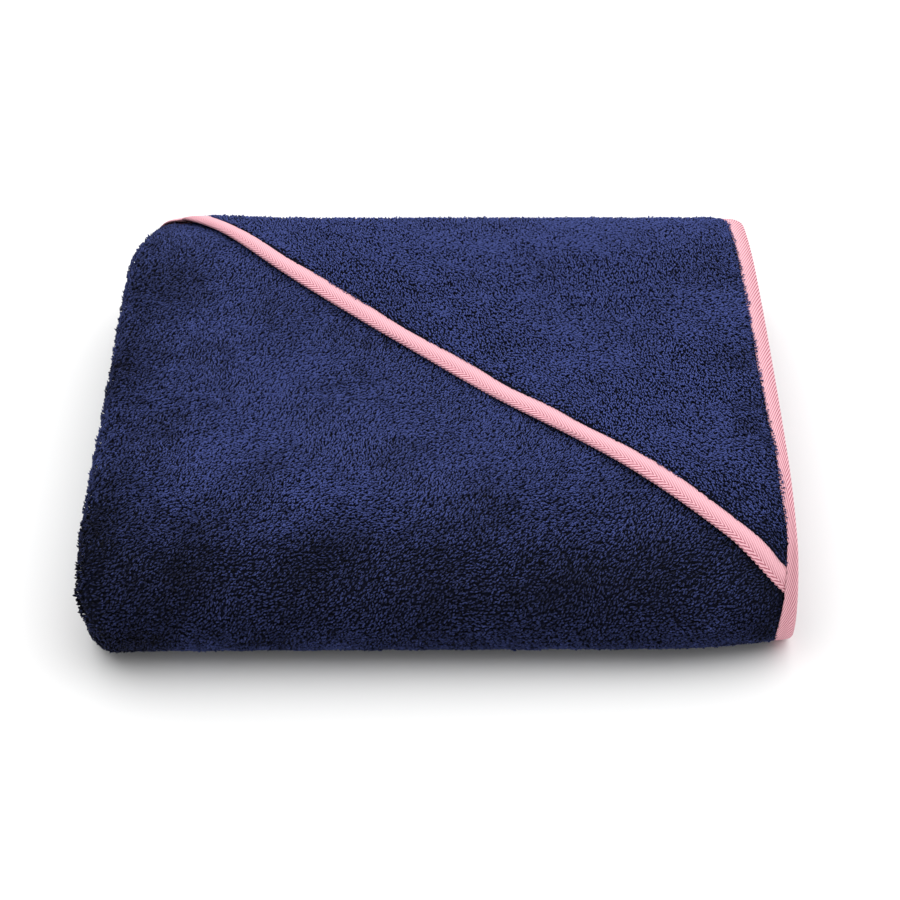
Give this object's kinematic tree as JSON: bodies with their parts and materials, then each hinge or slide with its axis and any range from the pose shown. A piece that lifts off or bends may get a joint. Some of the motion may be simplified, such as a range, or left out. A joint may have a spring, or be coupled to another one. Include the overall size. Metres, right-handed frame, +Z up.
{
  "type": "hooded towel",
  "caption": "Square cotton terry towel with a triangular hood over one corner, bound all round with herringbone tape, folded in thirds both ways.",
  "frame": {"origin": "on the surface the folded towel rests on, under the middle of the stack", "axes": "+Z up, -Y towards the rounded front fold, +X towards the bound edge on the right, with the hood's corner at +X +Y"},
  "size_m": [0.3408, 0.3364, 0.0683],
  "materials": {
    "terry": "navy cotton terry with a loop pile, matt",
    "tape": "pale pink cotton herringbone tape, matt"
  },
  "bodies": {
    "root": {"towel_cloth": "terry", "hood": "terry", "edge_binding": "tape", "hood_binding": "tape"}
  },
  "joints": []
}
